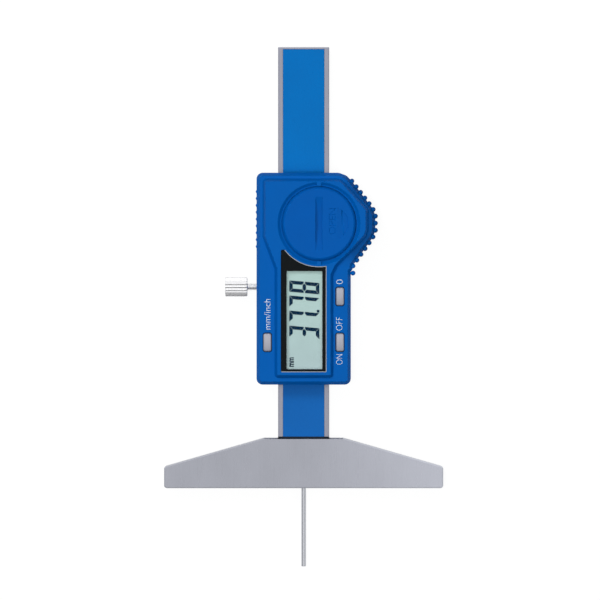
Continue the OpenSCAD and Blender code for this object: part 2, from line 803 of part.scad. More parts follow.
module display_housing() color(blue) {
    difference() {
        house_body();
        house_hollow();
        battery_hollow();
        translate([0, 0, z_bezel]) linear_extrude(panel_h + over) bezel_outline(fit);
        translate([0, 0, z_rail]) linear_extrude(wing_h + panel_h) view_outline(lens_lap + fit, bezel_r);
        translate([0, 0, z_rail]) linear_extrude(z_lcd + fit - z_rail)
            view_outline(lcd_rim + fit, lcd_r);
        for (p = button_places) translate([0, 0, z_rail]) translate(p)
            linear_extrude(wing_h + panel_h + over) button_outline(button_gap);
        at_house_screws() cylinder(d = house_screw_d + 2 * screw_gap, h = z_roof - hole_roof);
    }
}

module housing_screws() color(steel) {
    at_house_screws() translate([0, 0, z_back + head_sink])
        screw(house_screw_d, z_roof - z_back - head_sink - hole_roof - tip_room);
}

module window_frame() color([0.02, 0.02, 0.03]) {
    translate([0, 0, z_bezel]) linear_extrude(bezel_t) difference() {
        bezel_outline();
        view_outline(0, bezel_r);
    }
}

module window_lens() color([0.9, 0.95, 0.95, 0.3]) {
    translate([0, 0, z_lens]) linear_extrude(lens_t) view_outline(lens_lap, glass_r);
}

module lcd_panel() color([0.7, 0.77, 0.75]) {
    translate([0, 0, z_lcd - lcd_t]) linear_extrude(lcd_t) view_outline(lcd_rim, lcd_r);
}

// Seven-segment digits, each segment a leaning trapezoid or hexagon
function lean(p) = [p[0] + digit_lean * p[1], p[1]];

// The segments that are dark in each digit: top, right pair, bottom, left pair and middle
function lit(n) =
    n == 3 ? [1, 1, 1, 1, 0, 0, 1] : n == 7 ? [1, 1, 1, 0, 0, 0, 0] : [1, 1, 1, 1, 1, 1, 1];

function segment_points(k) =
    let (w = digit_w, h = digit_h, m = digit_h / 2, s = segment, g = segment_gap, e = s / 2, n = 2 * g)
    k == 0 ? [[g, h], [w - g, h], [w - s - g, h - s], [s + g, h - s]] :
    k == 1 ? [[w, h - g], [w, m + n], [w - e, m + n], [w - s, m + e + n], [w - s, h - s - g]] :
    k == 2 ? [[w, g], [w, m - n], [w - e, m - n], [w - s, m - e - n], [w - s, s + g]] :
    k == 3 ? [[g, 0], [w - g, 0], [w - s - g, s], [s + g, s]] :
    k == 4 ? [[0, g], [0, m - n], [e, m - n], [s, m - e - n], [s, s + g]] :
    k == 5 ? [[0, h - g], [0, m + n], [e, m + n], [s, m + e + n], [s, h - s - g]] :
    [[e + g, m], [s + g, m + e], [w - s - g, m + e], [w - e - g, m], [w - s - g, m - e], [s + g, m - e]];

module lcd_digits() color([0.04, 0.16, 0.28]) {
    ink = 0.1;
    for (i = [0 : len(reading) - 1])
        translate([digit_base, first_digit_y + i * digit_pitch, z_lcd]) rotate([0, 0, 90])
            for (k = [0 : 6]) if (lit(reading[i])[k])
                linear_extrude(ink) polygon([for (p = segment_points(k)) lean(p)]);
    translate([digit_base, first_digit_y + 2 * digit_pitch, z_lcd]) rotate([0, 0, 90])
        translate([-point_w - point_gap, 0, 0]) cube([point_w, point_w, ink]);
}

module lcd_connectors() color([0.85, 0.75, 0.75]) {
    for (s = [-1, 1])
        translate([view_x + s * (view_w / 2 + lens_lap + fit) - connector_w / 2, view_y, z_board])
            cube([connector_w, view_h, z_lcd - lcd_t - z_board]);
}

module circuit_board() color([0.05, 0.35, 0.2]) {
    x = house_w / 2 - wall - board_gap;
    inset = wall + board_gap;
    difference() {
        translate([0, 0, z_rail]) linear_extrude(board_t)
            plate(-x, slider_y + inset, x, slider_y + house_len - inset, 0.3);
        at_house_screws() translate([0, 0, z_rail - over])
            cylinder(d = boss_d + board_gap, h = 2 * over + board_t);
    }
}

module controller_chip() color([0.1, 0.1, 0.1]) {
    translate([view_x - chip_w / 2, view_y + view_h / 3, z_board]) cube([chip_w, chip_w, chip_t]);
}

// Rubber domes under the buttons
module button_pads() color([0.25, 0.25, 0.27]) {
    w = dome_d + 0.2;
    for (run = [[0, 0], [2, 1]]) {
        a = button_places[run[0]];
        b = button_places[run[1]];
        translate([a[0] - w / 2, a[1] - button_l / 2, z_board])
            cube([w, b[1] - a[1] + button_l, dome_strip_t]);
    }
    for (p = button_places) translate([p[0], p[1], z_board])
        cylinder(d1 = dome_d, d2 = button_stem_d + 0.2, h = z_stem - button_travel - fit - z_board);
}

module coin_cell() color([0.8, 0.8, 0.82]) {
    at_cover() translate([0, 0, z_cell]) {
        cylinder(d = cell_d - 1.6, h = 0.3);
        translate([0, 0, 0.3]) cylinder(d = cell_d, h = cell_t - 0.3);
    }
}

// Leaf of bent sheet between two ends
module leaf(points, width) {
    rotate([90, 0, 0]) linear_extrude(width, center = true) polygon(points);
}

module battery_spring() color([0.85, 0.75, 0.4]) {
    rise = z_cell - touch - z_board;
    end = spring_l / 2;
    bend = spring_l / 2 - 1.4;
    at_cover() translate([0, 0, z_board])
        leaf([[-end, 0], [-bend, 0], [bend, rise - sheet], [end, rise - sheet], [end, rise],
            [bend - 0.1, rise], [-bend - 0.1, sheet], [-end, sheet]], contact_w);
}

module battery_clip() color([0.85, 0.75, 0.4]) {
    x = -cell_d / 2 - touch;
    top = z_cell + cell_t - 1 - z_board;
    foot = x - 2.2;
    at_cover() translate([0, 0, z_board]) leaf([[foot, 0], [x, 0], [x, top], [x - sheet, top],
        [x - sheet, sheet], [foot, sheet]], contact_w);
}

module cover_seal() color([0.12, 0.12, 0.12]) {
    at_cover() translate([0, 0, z_ledge]) difference() {
        cylinder(r = cover_r - 0.1, h = seal_t);
        translate([0, 0, -over]) cylinder(r = plug_r + cover_gap + 0.1, h = seal_t + 2 * over);
        for (s = [0, 180]) rotate([0, 0, s + lug_turn]) translate([0, 0, -over])
            sector(under_r + 0.05, lug_a + 8, seal_t + 2 * over);
    }
}

// Turning cover with a coin slot, a finger scoop and two bayonet lugs
module battery_cover() color(blue) {
    coin_r = arc_r(coin_len, coin_d);
    scoop_r = arc_r(scoop_l, scoop_w);
    far = cover_r - scoop_rim;
    at_cover() difference() {
        union() {
            translate([0, 0, z_disk]) cylinder(r = cover_r, h = disk_t - cover_drop);
            translate([0, 0, z_cover - cover_drop])
                cylinder(r1 = cover_r, r2 = cover_r - cover_bevel, h = cover_drop);
            translate([0, 0, z_plug]) cylinder(r = plug_r, h = plug_t);
            for (s = [0, 180]) rotate([0, 0, s]) translate([0, 0, z_plug])
                sector(plug_r + lug_out, lug_a, lug_t);
        }
        translate([-coin_w / 2, 0, z_cover - coin_d + coin_r]) rotate([0, 90, 0])
            cylinder(r = coin_r, h = coin_w, $fn = 96);
        translate([far, 0, z_cover]) intersection() {
            translate([-scoop_r, 0, -over]) cylinder(r = scoop_r, h = 2 * over);
            translate([-scoop_w, -scoop_l, 0]) rotate([0, atan(scoop_d / scoop_w), 0])
                cube([2 * scoop_w, 2 * scoop_l, over]);
        }
    }
}

// Push button: cap, flange under the roof and stem
module button(place) {
    cap_h = roof_t + button_out + fit;
    z_flange = z_roof - fit - flange_t;
    translate(place) {
        translate([0, 0, z_roof - fit]) hull() {
            linear_extrude(cap_h - button_edge) button_outline($fn = 32);
            linear_extrude(cap_h) button_outline(-button_edge, $fn = 32);
        }
        translate([0, 0, z_flange]) linear_extrude(flange_t) button_outline(flange_w);
        translate([0, 0, z_stem]) cylinder(d = button_stem_d, h = z_flange - z_stem);
    }
}

module button_unit() color([0.7, 0.69, 0.74]) button(button_places[0]);

module button_zero() color([0.7, 0.69, 0.74]) button(button_places[1]);

module button_power() color([0.7, 0.69, 0.74]) button(button_places[2]);

// Brass pad that the lock screw presses on the beam's edge
module lock_pad() color([0.8, 0.65, 0.3]) {
    tip = beam_w / 2 + touch + pad_len + touch;
    at_lock() difference() {
        translate([0, 0, beam_w / 2 + touch]) cylinder(d = pad_d, h = pad_len);
        translate([0, 0, tip - nose_l - 2 * touch]) cylinder(d = nose_d + 2 * fit, h = pad_len);
    }
}

module lock_screw() color([0.8, 0.8, 0.82]) {
    tip = beam_w / 2 + touch + pad_len + touch;
    head = house_w / 2 + stem_out;
    r = knob_d / 2;
    root = 0.5;
    at_lock() {
        translate([0, 0, tip - nose_l]) cylinder(d = nose_d, h = nose_l + fit);
        translate([0, 0, tip]) cylinder(d = stem_d, h = head - tip + root);
        translate([0, 0, head]) intersection() {
            linear_extrude(knob_len) polygon([for (i = [0 : 2 * knob_ridges - 1])
                let (a = 180 * i / knob_ridges, q = i % 2 == 0 ? r : r - knurl_d)
                q * [cos(a), sin(a)]]);
            rotate_extrude() polygon([[0, 0], [r - knob_edge, 0], [r + over, knob_edge + over],
                [r + over, knob_len - knob_edge - over], [r - knob_edge, knob_len], [0, knob_len]]);
        }
    }
}

measuring_base();
beam();
scale_grid();
scale_film();
beam_screws();
stop_screw();
slider_frame();
gib_strip();
gib_screws();
depth_rod();
rod_holder();
rod_screw();
display_housing();
housing_screws();
window_frame();
window_lens();
lcd_panel();
lcd_digits();
lcd_connectors();
circuit_board();
controller_chip();
button_pads();
coin_cell();
battery_spring();
battery_clip();
cover_seal();
battery_cover();
button_unit();
button_zero();
button_power();
lock_pad();
lock_screw();
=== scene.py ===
# Digital depth gauge on its back: finishes, lettering, fine detail, light and camera
import json
import math

import bmesh
import bpy
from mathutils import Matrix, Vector


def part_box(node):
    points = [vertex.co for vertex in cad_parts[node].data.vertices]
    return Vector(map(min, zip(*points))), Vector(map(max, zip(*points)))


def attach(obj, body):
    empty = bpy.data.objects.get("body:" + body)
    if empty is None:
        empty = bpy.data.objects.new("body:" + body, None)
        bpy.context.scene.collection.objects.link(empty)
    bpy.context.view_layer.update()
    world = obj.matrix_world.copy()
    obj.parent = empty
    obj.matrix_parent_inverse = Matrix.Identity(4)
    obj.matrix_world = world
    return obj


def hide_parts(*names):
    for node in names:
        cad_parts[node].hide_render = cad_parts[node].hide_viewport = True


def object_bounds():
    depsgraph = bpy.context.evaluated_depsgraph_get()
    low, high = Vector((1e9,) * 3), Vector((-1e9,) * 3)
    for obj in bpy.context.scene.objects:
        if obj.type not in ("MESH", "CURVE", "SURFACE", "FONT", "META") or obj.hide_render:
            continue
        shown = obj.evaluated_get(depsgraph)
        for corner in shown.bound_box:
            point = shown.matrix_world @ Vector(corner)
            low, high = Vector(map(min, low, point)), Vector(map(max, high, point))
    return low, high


MM = 0.001
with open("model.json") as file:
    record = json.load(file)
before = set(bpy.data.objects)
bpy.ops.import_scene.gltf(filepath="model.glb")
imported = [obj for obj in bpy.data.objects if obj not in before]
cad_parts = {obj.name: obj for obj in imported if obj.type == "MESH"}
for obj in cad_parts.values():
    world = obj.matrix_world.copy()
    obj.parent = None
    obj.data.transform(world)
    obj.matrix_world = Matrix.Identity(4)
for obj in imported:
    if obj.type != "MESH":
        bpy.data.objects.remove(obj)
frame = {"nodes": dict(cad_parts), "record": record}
cad_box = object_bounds()
nodes = frame["nodes"]
slots = {part["node"]: part["material_slot"] for part in frame["record"]["subparts"]}


# Colours

def srgb(red, green, blue):
    """A colour written as it is seen, 0 to 255, as the linear values that a shader takes."""
    def linear(value):
        v = value / 255
        return v / 12.92 if v <= 0.04045 else ((v + 0.055) / 1.055) ** 2.4
    return (linear(red), linear(green), linear(blue), 1.0)


def shade(colour, factor):
    """The colour, lighter or darker by a factor."""
    return tuple(min(1.0, c * factor) for c in colour[:3]) + (1.0,)


HOUSING_BLUE = srgb(0, 89, 171)
COVER_BLUE = srgb(0, 85, 168)
FILM_LOW = srgb(20, 99, 177)
FILM_HIGH = srgb(0, 110, 187)
LCD_LOW = srgb(180, 198, 201)
LCD_HIGH = srgb(188, 213, 208)
LCD_BORDER = srgb(20, 26, 28)
LCD_INK = srgb(0, 36, 62)
WINDOW_BLACK = srgb(14, 18, 20)
# Pale colour of the painted highlight along the window's edge
WINDOW_HIGHLIGHT = srgb(176, 182, 190)
LENS_BODY = (0.97, 0.99, 0.985, 1.0)
LENS_SHADOW = (0.96, 0.985, 0.98, 1.0)
PRINT_WHITE = srgb(230, 236, 240)
KEY_SILVER = srgb(163, 164, 174)
BASE_STEEL = srgb(164, 166, 175)
BEAM_STEEL = srgb(151, 152, 165)
FRAME_STEEL = srgb(158, 160, 166)
ROD_STEEL = srgb(196, 198, 204)
SCREW_STEEL = srgb(176, 177, 182)
CELL_STEEL = srgb(205, 206, 210)
CHROME = srgb(236, 236, 238)
BRASS = srgb(205, 172, 104)
GOLD = srgb(222, 184, 104)
GLASS_FIBRE = srgb(96, 110, 62)
COPPER = srgb(190, 120, 70)
SOLDER_MASK = srgb(28, 92, 60)
CHIP_BLACK = srgb(36, 36, 38)
RUBBER_GREY = srgb(60, 60, 64)
RUBBER_PINK = srgb(200, 170, 168)
# Dark colour of the painted shade in the base's slot and on the keys' flanks
PAINTED_SHADE = srgb(30, 38, 48)
WHITE = (1.0, 1.0, 1.0, 1.0)
FLOOR_DARK = (0.5, 0.5, 0.5, 1.0)
FLOOR_PALE = (0.54, 0.54, 0.54, 1.0)


# Noise

# Most noise lies between these two levels. A mark comes in over a short way of them
NOISE_LOW = 0.3
NOISE_HIGH = 0.7
MARK_FADE = 0.06


# Places and sizes, in millimetres of the part

# Along each axis, where the grip's coarser grain and its painted shade set in and where they are complete
GRIP_GRAIN_AND_SHADE = (("X", 11.5, 15.5), ("Y", 68.5, 73.5), ("Z", 9.2, 8.8))

# Along the base, where its steel starts to get paler, where that ends, and by how much: a painted sheen,
# standing in for a lamp's reflection that brightens the steel towards its right end
BASE_PAINTED_SHEEN = (0, 44, 0.5)

# Above the base, where the painted shadow of its slot on the beam begins to fade and where it ends
PAINTED_SHADE_FADE = (0.35, 0.5)

# Along the beam, where the film goes over from its low to its high colour
FILM_FADE = (45, 95)

# Pitch of the copper bars under the film
SCALE_PITCH = 0.508

# Where the display's dark border starts, and how fast it sets in
LCD_RIGHT = 5.75
LCD_FOOT = 37.29
LCD_HEAD = 67.74
LCD_SOFT = 0.1

# How far a key's ends fall away, and how deep below its top the painted shade on its flanks is full and
# gone
KEY_FALL = 0.6
KEY_PAINTED_SHADE = (0.36, 0.14)

# How much wider a driven segment of the display looks on each side
SEGMENT_SPREAD = 0.045

# Lettering: the words, the lower left and upper right corner of their place, and how bold they are
LETTERING = {
    "label_unit": ("mm/inch", (-12.35, 49.6), (-10.3, 59.1), -0.01),
    "label_zero": ("0", (10.15, 63.75), (12.2, 65.15), -0.02),
    "label_off": ("OFF", (10.1, 49.3), (12.1, 53.4), -0.02),
    "label_on": ("ON", (10.1, 38.7), (12.1, 41.9), -0.02),
    "display_unit": ("mm", (-4.46, 38.0), (-3.05, 40.9), 0.03),
    "cover_word": ("OPEN", (7.9, 79.2), (10.0, 87.3), -0.014),
}
WING_TOP = 8.7
PRINT_HEIGHT = 0.03
INK_HEIGHT = 0.1
WORD_DEPTH = 0.12

# The window's bow runs round the battery cover's middle. Its painted highlight is a pale strip of a width,
# which reaches from a depth below the window frame's top to a rise above it
COVER_X = 4.78
BOW_RADIUS = 13.4
BOW_STEPS = 28
EDGE_WIDTH = 0.16
EDGE_DEPTH = 0.3
EDGE_RISE = 0.04

# The thread on the lock screw's stem, and the gaps that it keeps from the knob and the housing
KNOB_LENGTH = 7.0
STEM_R = 1.0
THREAD_PITCH = 0.4
THREAD_R = 0.07
THREAD_SIDES = 6
THREAD_STEPS = 16
KNOB_GAP = 0.1
HOUSING_GAP = 0.75

# The photograph's frame: its width, and the point at its centre
PHOTO_WIDTH = 187.9
PHOTO_CENTRE = (-1.14, 58.8)


# Camera, floor and light, in metres and watts

CAMERA_HEIGHT = 1.8
CAMERA_REACH = 20.0
FLOOR_SIZE = 6.0

# The share of the floor's look that glows white for the camera and in reflections, and how strongly
FLOOR_WHITE = 0.8
FLOOR_GLOW = 1.15

# Lamps: the place from the photograph's centre, the side's length, the power, and whether gloss mirrors it
LAMPS = {
    "front": ((-0.1, -0.12, 1.4), 0.3, 7.2, False),
    "key": ((-0.5, 0.6, 0.9), 0.3, 3.5, False),
    "fill": ((0.6, -0.3, 0.9), 0.6, 0.8, True),
}


# Node trees

class Network:
    """A node tree, with short calls for the nodes that the finishes and the sky both use."""

    def __init__(self, tree, place):
        self.tree = tree
        self.place = self.add("ShaderNodeTexCoord").outputs[place]

    def feed(self, socket, value):
        """Gives a socket a value, or links it to another node's output."""
        if isinstance(value, bpy.types.NodeSocket):
            self.tree.links.new(value, socket)
        else:
            socket.default_value = value

    def add(self, kind, inputs=None, **settings):
        """A new node, with its inputs by name or number and its settings."""
        node = self.tree.nodes.new(kind)
        for key, value in settings.items():
            setattr(node, key, value)
        for key, value in (inputs or {}).items():
            self.feed(node.inputs[key], value)
        return node

    def maths(self, operation, first, *others):
        """Values joined by an operation, one after the other."""
        for other in others:
            first = self.add("ShaderNodeMath", {0: first, 1: other}, operation=operation).outputs[0]
        return first

    def between(self, value, low, high, start=0.0, end=1.0, **settings):
        """Maps a value from start..end to low..high."""
        return self.add("ShaderNodeMapRange", {
            "Value": value, "From Min": start, "From Max": end, "To Min": low, "To Max": high},
            **settings).outputs["Result"]

    def cosine(self, first, second):
        """The cosine of the angle between two directions."""
        return self.add("ShaderNodeVectorMath", {0: first, 1: second},
                        operation="DOT_PRODUCT").outputs["Value"]

    def rays(self, *kinds):
        """1 for rays of these kinds, 0 for the others."""
        path = self.add("ShaderNodeLightPath").outputs
        return self.maths("MAXIMUM", *(path[kind] for kind in kinds))


class Finish(Network):
    """A material around one Principled shader, with short calls for the patterns that vary it.

    The shader's sockets are given by name, with _ for each space."""

    def __init__(self, name, **sockets):
        self.material = bpy.data.materials.new(name)
        self.material.use_nodes = True
        super().__init__(self.material.node_tree, "Object")
        self.shader = self.tree.nodes["Principled BSDF"]
        for socket, value in sockets.items():
            self.put(socket.replace("_", " "), value)

    def put(self, socket, value):
        """Sets a socket of the shader, or links it."""
        self.feed(self.shader.inputs[socket], value)

    def give_way(self, share, other):
        """Lets another shader take a share of the surface."""
        mix = self.add("ShaderNodeMixShader", {0: share, 1: self.shader.outputs[0], 2: other.outputs[0]})
        self.feed(self.tree.nodes["Material Output"].inputs["Surface"], mix.outputs[0])

    def along(self, axis):
        """The place on the piece along one axis, in metres."""
        return self.add("ShaderNodeSeparateXYZ", {"Vector": self.place}).outputs[axis]

    def ramp(self, axis, start, end, low=0.0, high=1.0):
        """Goes from low to high between two places along an axis, in millimetres."""
        return self.between(self.along(axis), low, high, start * MM, end * MM)

    def stretched(self, stretch):
        """The place on the piece in millimetres, stretched along each axis."""
        scale = [1 / MM / s for s in stretch]
        return self.add("ShaderNodeMapping", {"Vector": self.place, "Scale": scale}).outputs["Vector"]

    def noise(self, size, stretch=(1, 1, 1), detail=3.0, rough=0.5, seed=0.0):
        """Noise whose features measure about size millimetres."""
        grain = self.add("ShaderNodeTexNoise", {
            "Vector": self.stretched([size * s for s in stretch]), "Scale": 1.0, "Detail": detail,
            "Roughness": rough, "W": seed}, noise_dimensions="4D")
        return grain.outputs["Fac"]

    def vary(self, noise, low, high):
        """Maps the usual levels of noise to low..high."""
        return self.between(noise, low, high, NOISE_LOW, NOISE_HIGH)

    def marks(self, noise, start):
        """1 on the few spots where noise is well above start, 0 elsewhere."""
        return self.between(noise, 0.0, 1.0, start, start + MARK_FADE)

    def mixed(self, factor, first, second):
        """A colour between two colours."""
        return self.add("ShaderNodeMix", {0: factor, 6: first, 7: second}, data_type="RGBA").outputs[2]

    def toned(self, tone, colour, reach):
        """The colour, darker by the reach where the tone is 0 and lighter by it where the tone is 1."""
        return self.mixed(tone, shade(colour, 1 - reach), shade(colour, 1 + reach))

    def painted_shade_masked(self, colour, painted_shade_mask):
        """The colour darkened by painted shade, where a mask says that there is any."""
        return self.mixed(painted_shade_mask(self), colour, PAINTED_SHADE) if painted_shade_mask else colour

    def soft_edges(self, radius):
        """The surface's normal, with its edges rounded over a radius in millimetres."""
        return self.add("ShaderNodeBevel", {"Radius": radius * MM}, samples=4).outputs["Normal"]

    def edges(self, radius, start=0.9):
        """1 on edges and corners, 0 on open faces."""
        flat = self.add("ShaderNodeNewGeometry").outputs["Normal"]
        return self.between(self.cosine(flat, self.soft_edges(radius)), 1.0, 0.0, start, 0.995)

    def bumps(self, *layers, edge=0.0):
        """Bump from layers of (height, depth in millimetres), over edges rounded by a radius."""
        normal = self.soft_edges(edge) if edge else None
        for height, depth in layers:
            inputs = {"Height": height, "Strength": 1.0, "Distance": depth * MM}
            if normal is not None:
                inputs["Normal"] = normal
            normal = self.add("ShaderNodeBump", inputs).outputs["Normal"]
        self.put("Normal", normal)


# Finishes

def ground_metal(name, colour, grain, rough=0.3, spread=0.12, depth=0.0012, edge=0.12, painted_sheen=None,
                 painted_shade_mask=None):
    """Metal ground or brushed in one direction: grain gives the streaks' length along each axis.

    A painted sheen is the X from which the metal is painted paler, as a near lamp's reflection would
    brighten it, where that ends, and by how much. A painted shade mask is a function that marks where shade
    is painted darker."""
    look = Finish(name, Metallic=1.0)
    streaks = look.noise(1.0, grain, detail=5.0, rough=0.62)
    patches = look.noise(9.0, [1 + g / 30 for g in grain], detail=2.0, seed=3.0)
    scratches = look.marks(look.noise(2.2, [g * 1.6 for g in grain], detail=1.0, seed=7.0), 0.66)
    tone = look.maths(
        "ADD",
        look.between(streaks, -spread, spread, 0.25, 0.75),
        look.vary(patches, -0.05, 0.05),
        look.between(scratches, 0.0, 0.06),
        look.between(look.edges(edge), 0.0, 0.22))
    # Painted sheen: the steel is painted paler along X, where a near lamp's reflection would brighten it
    if painted_sheen:
        start, end, gain = painted_sheen
        tone = look.maths("ADD", tone, look.ramp("X", start, end, high=gain))
    base = look.toned(look.maths("ADD", tone, 0.5), colour, 0.28)
    # Painted shade, where a mask asks for it
    look.put("Base Color", look.painted_shade_masked(base, painted_shade_mask))
    look.put("Roughness", look.vary(streaks, rough - 0.06, rough + 0.1))
    look.bumps((streaks, depth), (scratches, depth), edge=edge)
    return look.material


def satin_plastic(name, colour, rough=0.4, grain=0.16, depth=0.004, edge=0.22, specular=0.06, metallic=0.0,
                  wear_and_highlight=0.2, grain_and_shade=None, crown=None, painted_shade_mask=None):
    """Moulded plastic with a fine spark-eroded grain, and edges a little paler: partly rubbed wear, partly
    a painted highlight.

    Wear and highlight is how much paler the edges are: partly rubbed wear, partly a painted highlight. A
    grain and shade is a function that marks where the mould is coarser, with a coarser grain, and where
    shade is painted darker. A crown is the Y of a key's middle and half its length. A painted shade mask is
    a function that marks where shade is painted darker."""
    look = Finish(name, Specular_IOR_Level=specular, Metallic=metallic)
    fine = look.noise(grain, detail=2.0)
    flow = look.noise(7.0, detail=2.0, seed=2.0)
    scuffs = look.marks(look.noise(0.5, (1, 6, 1), detail=2.0, seed=5.0), 0.68)
    tone = look.maths(
        "ADD",
        look.vary(fine, 0.44, 0.56),
        look.vary(flow, -0.06, 0.06),
        # Paler edges: partly wear, partly a painted highlight
        look.between(look.edges(edge, 0.86), 0.0, wear_and_highlight),
        look.between(scuffs, 0.0, 0.05))
    base = look.toned(tone, colour, 0.2)
    layers = [(fine, depth)]
    if grain_and_shade:
        inside = grain_and_shade(look)
        coarse = look.noise(0.42, detail=1.0, seed=8.0)
        # Painted shade: the grip's wing is darkened in speckles, as its downward slope lies in shade; the
        # coarser bump is its real grain
        painted_shade_speckle = look.maths("MULTIPLY", inside, look.between(coarse, 0.75, 1.0, 0.35, 0.65))
        base = look.mixed(painted_shade_speckle, base, shade(colour, 0.58))
        layers.append((look.maths("MULTIPLY", coarse, inside), 5 * depth))
    if crown:
        middle, half = crown
        off = look.maths("DIVIDE", look.maths("SUBTRACT", look.along("Y"), middle * MM), half * MM)
        layers.append((look.maths("MULTIPLY", off, off), -KEY_FALL))
    # Painted shade, where a mask asks for it
    look.put("Base Color", look.painted_shade_masked(base, painted_shade_mask))
    look.put("Roughness", look.maths("ADD", look.vary(flow, rough - 0.04, rough + 0.04),
                                     look.vary(fine, -0.04, 0.04)))
    look.bumps(*layers, edge=edge)
    return look.material


def gloss_plastic(name, colour, rough=0.12, specular=0.5, edge=0.0):
    """Polished plastic with faint waves and hairline scratches."""
    look = Finish(name, Specular_IOR_Level=specular)
    waves = look.noise(3.5, detail=2.0)
    hairs = look.marks(look.noise(0.12, (1, 30, 1), detail=1.0, seed=4.0), 0.7)
    tone = look.maths("ADD", look.vary(waves, 0.4, 0.6), look.between(hairs, 0.0, 0.05))
    look.put("Base Color", look.toned(tone, colour, 0.15))
    look.put("Roughness", look.maths("ADD", look.vary(waves, rough - 0.02, rough + 0.03),
                                     look.between(hairs, 0.0, 0.08)))
    look.bumps((waves, 0.0015), edge=edge)
    return look.material


def chrome(name, colour, rough, edge):
    """Plated metal, almost a mirror, a little brighter on its edges."""
    look = Finish(name, Metallic=1.0)
    fine = look.noise(0.3, detail=3.0)
    tone = look.maths("ADD", look.between(fine, 0.35, 0.5), look.between(look.edges(0.08), 0.0, 0.3))
    look.put("Base Color", look.toned(tone, colour, 0.15))
    look.put("Roughness", look.between(fine, rough - 0.03, rough + 0.06))
    look.bumps((fine, 0.0015), edge=edge)
    return look.material


def rubber(name, colour):
    """Matt rubber or resin."""
    look = Finish(name, Specular_IOR_Level=0.3)
    fine = look.noise(0.1, detail=3.0)
    look.put("Base Color", look.toned(fine, colour, 0.2))
    look.put("Roughness", look.between(fine, 0.7, 0.85))
    look.bumps((fine, 0.006))
    return look.material


def circuit(name, colour):
    """Solder mask over fine copper tracks."""
    look = Finish(name, Specular_IOR_Level=0.5)
    tracks = look.add("ShaderNodeTexBrick", {
        "Vector": look.stretched((1, 1, 1)), "Scale": 1.2, "Mortar Size": 0.12}).outputs["Fac"]
    look.put("Base Color", look.mixed(tracks, colour, shade(colour, 1.8)))
    look.put("Roughness", look.between(look.noise(0.5), 0.3, 0.45))
    look.bumps((tracks, 0.01))
    return look.material


def comb(name, colour, bar, pitch):
    """Glass fibre with bars of copper across the beam, as wide as the gaps between them."""
    look = Finish(name, Specular_IOR_Level=0.4)
    phase = look.maths("MODULO", look.along("Y"), pitch * MM)
    bars = look.maths("GREATER_THAN", phase, pitch / 2 * MM)
    look.put("Base Color", look.mixed(bars, colour, bar))
    look.put("Metallic", bars)
    look.put("Roughness", look.between(look.noise(0.4), 0.35, 0.5))
    look.bumps((bars, 0.02))
    return look.material


def grip_grain_and_shade(look):
    """1 on the wing round the thumb grip, where the grain is coarser and shade is painted, 0 elsewhere,
    with soft borders.
    """
    return look.maths("MULTIPLY", *(look.ramp(axis, start, end) for axis, start, end in GRIP_GRAIN_AND_SHADE))


def base_slot_shadow(look):
    """1 where the beam comes out of the base, 0 elsewhere: painted shadow in the gap of the slot."""
    base_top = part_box("measuring_base")[1].y / MM
    start, end = PAINTED_SHADE_FADE
    return look.ramp("Y", base_top + start, base_top + end, 1.0, 0.0)


def printed_film():
    """Blue film on the beam: duller below the display unit, with a fine laminate grain."""
    look = Finish("film", Specular_IOR_Level=0.06)
    fine = look.noise(0.25, (1, 3, 1), detail=2.0)
    flow = look.noise(14.0, detail=2.0, seed=6.0)
    base = look.mixed(look.ramp("Y", *FILM_FADE), FILM_LOW, FILM_HIGH)
    tone = look.maths("ADD", look.vary(fine, -0.06, 0.06), look.vary(flow, 0.84, 0.96))
    colour = look.mixed(tone, shade(FILM_LOW, 0.6), base)
    # Painted shadow where the beam goes into the base's slot
    look.put("Base Color", look.painted_shade_masked(colour, base_slot_shadow))
    look.put("Roughness", look.vary(fine, 0.26, 0.36))
    look.bumps((fine, 0.0015), edge=0.05)
    return look.material


def display_face():
    """Grey-green display, a little greener towards its upper end, with a fine weave and a dark border."""
    look = Finish("display", Specular_IOR_Level=0.1)
    low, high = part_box("lcd_panel")
    weave = look.noise(0.09, detail=1.0)
    cloud = look.noise(6.0, detail=2.0, seed=1.0)
    colour = look.mixed(look.ramp("Y", low.y / MM, high.y / MM), LCD_LOW, LCD_HIGH)
    tone = look.maths("ADD", look.vary(weave, 0.86, 0.96), look.vary(cloud, -0.06, 0.06))
    face = look.mixed(tone, shade(LCD_LOW, 0.6), colour)
    border = look.maths(
        "MAXIMUM",
        look.ramp("X", LCD_RIGHT, LCD_RIGHT + LCD_SOFT),
        look.ramp("Y", LCD_FOOT, LCD_FOOT - LCD_SOFT),
        look.ramp("Y", LCD_HEAD, LCD_HEAD + LCD_SOFT))
    look.put("Base Color", look.mixed(border, face, LCD_BORDER))
    look.put("Roughness", look.between(cloud, 0.22, 0.3))
    look.bumps((weave, 0.001))
    return look.material


def clear_lens():
    """Clear window, coated against glare. Shadow rays pass it, so that the display behind it stays lit."""
    look = Finish("lens", Transmission_Weight=1.0, IOR=1.15, Specular_IOR_Level=0.1, Base_Color=LENS_BODY)
    waves = look.noise(5.0, detail=1.0)
    look.put("Roughness", look.between(waves, 0.02, 0.05))
    look.bumps((waves, 0.0006))
    through = look.add("ShaderNodeBsdfTransparent", {"Color": LENS_SHADOW})
    look.give_way(look.rays("Is Shadow Ray", "Is Diffuse Ray"), through)
    return look.material


def button_finish(name):
    """Silver plastic of a crowned key, with painted shade on its flanks."""
    low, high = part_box(name)
    crown = ((low.y + high.y) / 2 / MM, (high.y - low.y) / 2 / MM)

    # Painted shade: the key's flanks darken towards the housing, as the gap round the key lies in shade
    def flank_shade(look):
        top = high.z / MM
        deep, shallow = KEY_PAINTED_SHADE
        return look.ramp("Z", top - deep, top - shallow, 1.0, 0.0)

    return satin_plastic(name + "_plastic", KEY_SILVER, rough=0.34, grain=0.1, edge=0.25, specular=0.2,
                         metallic=0.4, crown=crown, painted_shade_mask=flank_shade)


